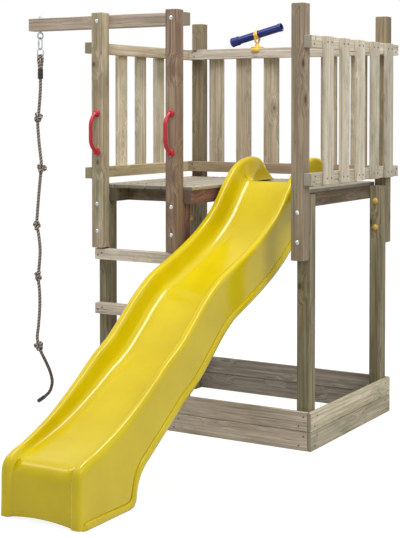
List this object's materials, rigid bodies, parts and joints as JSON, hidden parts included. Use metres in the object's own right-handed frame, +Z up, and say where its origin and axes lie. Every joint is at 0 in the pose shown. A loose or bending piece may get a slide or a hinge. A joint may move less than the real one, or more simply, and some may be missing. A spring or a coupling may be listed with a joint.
{
  "type": "wooden climbing frame",
  "caption": "Timber play tower with a deck, slatted balustrades, ladder rungs, a wavy moulded slide, a sandbox ring, a knotted climbing rope on a beam and a toy telescope.",
  "frame": {"origin": "on the ground under the middle of the frame's box, without the rope", "axes": "+Z up, +X to the right along the front, +Y from the slide's foot to the back"},
  "size_m": [1.7704, 2.564, 2.1665],
  "materials": {
    "post_wood": "rough sawn, weathered",
    "leg_wood": "rough sawn, dark",
    "beam_wood": "rough sawn",
    "joist_wood": "rough sawn",
    "deck_wood": "planed, weathered",
    "rung_wood": "planed",
    "panel_wood": "planed",
    "pale_wood": "planed, pale",
    "sand_wood": "rough sawn, weathered",
    "slide_plastic": "glossy moulded",
    "handle_plastic": "glossy moulded",
    "zinc": "galvanised",
    "screw_steel": "dull",
    "cap_plastic": "moulded",
    "scope_yellow": "moulded",
    "scope_blue": "moulded",
    "lens": "clear",
    "rope_fibre": "twisted strands",
    "black_plastic": "moulded"
  },
  "bodies": {
    "frame": {"front_left_leg": "leg_wood", "ladder_leg": "leg_wood", "front_right_leg": "leg_wood", "back_left_leg": "leg_wood", "back_right_leg": "leg_wood", "front_left_post": "post_wood", "ladder_post": "post_wood", "front_right_post": "post_wood", "back_left_post": "post_wood", "back_right_post": "post_wood", "rope_beam": "beam_wood", "left_joist": "joist_wood", "middle_joist": "joist_wood", "right_joist": "joist_wood", "cross_joists": "joist_wood", "left_deck": "deck_wood", "rear_deck": "deck_wood", "right_deck": "deck_wood", "upper_rung": "rung_wood", "middle_rung": "rung_wood", "lower_rung": "rung_wood", "left_rails": "panel_wood", "left_slats": "panel_wood", "back_rails": "panel_wood", "back_slats": "panel_wood", "right_rails": "pale_wood", "right_slats": "pale_wood", "front_sand_boards": "sand_wood", "right_sand_boards": "sand_wood", "back_sand_boards": "sand_wood", "left_sand_boards": "sand_wood", "slide": "slide_plastic", "left_handle": "handle_plastic", "right_handle": "handle_plastic", "slide_screws": "zinc", "handle_screws": "zinc", "carriage_bolts": "zinc", "scope_screws": "zinc", "eye_bolt": "zinc", "eye_bolt_nut": "zinc", "panel_screws": "screw_steel", "deck_screws": "screw_steel", "frame_screws": "screw_steel", "bolt_caps": "cap_plastic", "scope_base": "scope_yellow"},
    "telescope_fork": {"scope_fork": "scope_yellow"},
    "telescope": {"scope_cradle": "scope_yellow", "scope_trunnions": "zinc", "scope_barrel": "scope_blue", "scope_hood": "scope_blue", "scope_eyepiece": "scope_blue", "scope_lenses": "lens"},
    "rope_link": {"quick_link": "zinc"},
    "rope": {"rope_ring": "zinc", "rope_loop": "rope_fibre", "rope_ferrule": "black_plastic", "climbing_rope": "rope_fibre", "rope_knots": "rope_fibre", "rope_sleeve": "black_plastic"}
  },
  "joints": [
    {"name": "telescope_pan", "type": "hinge", "parent": "frame", "child": "telescope_fork", "pos_m": [0.03675, 1.188, 2.023], "axis": [0, 0, 1], "continuous": true},
    {"name": "telescope_tilt", "type": "hinge", "parent": "telescope_fork", "child": "telescope", "pos_m": [0.03675, 1.188, 2.081], "axis": [0, 1, 0], "range_deg": [-2, 30]},
    {"name": "rope_swing", "type": "hinge", "parent": "frame", "child": "rope_link", "pos_m": [-0.83025, 0.292, 2.0375], "axis": [1, 0, 0], "range_deg": [-50, 50]},
    {"name": "rope_sway", "type": "hinge", "parent": "rope_link", "child": "rope", "pos_m": [-0.83025, 0.292, 1.9809], "axis": [0, 1, 0], "range_deg": [-7, 50]}
  ]
}
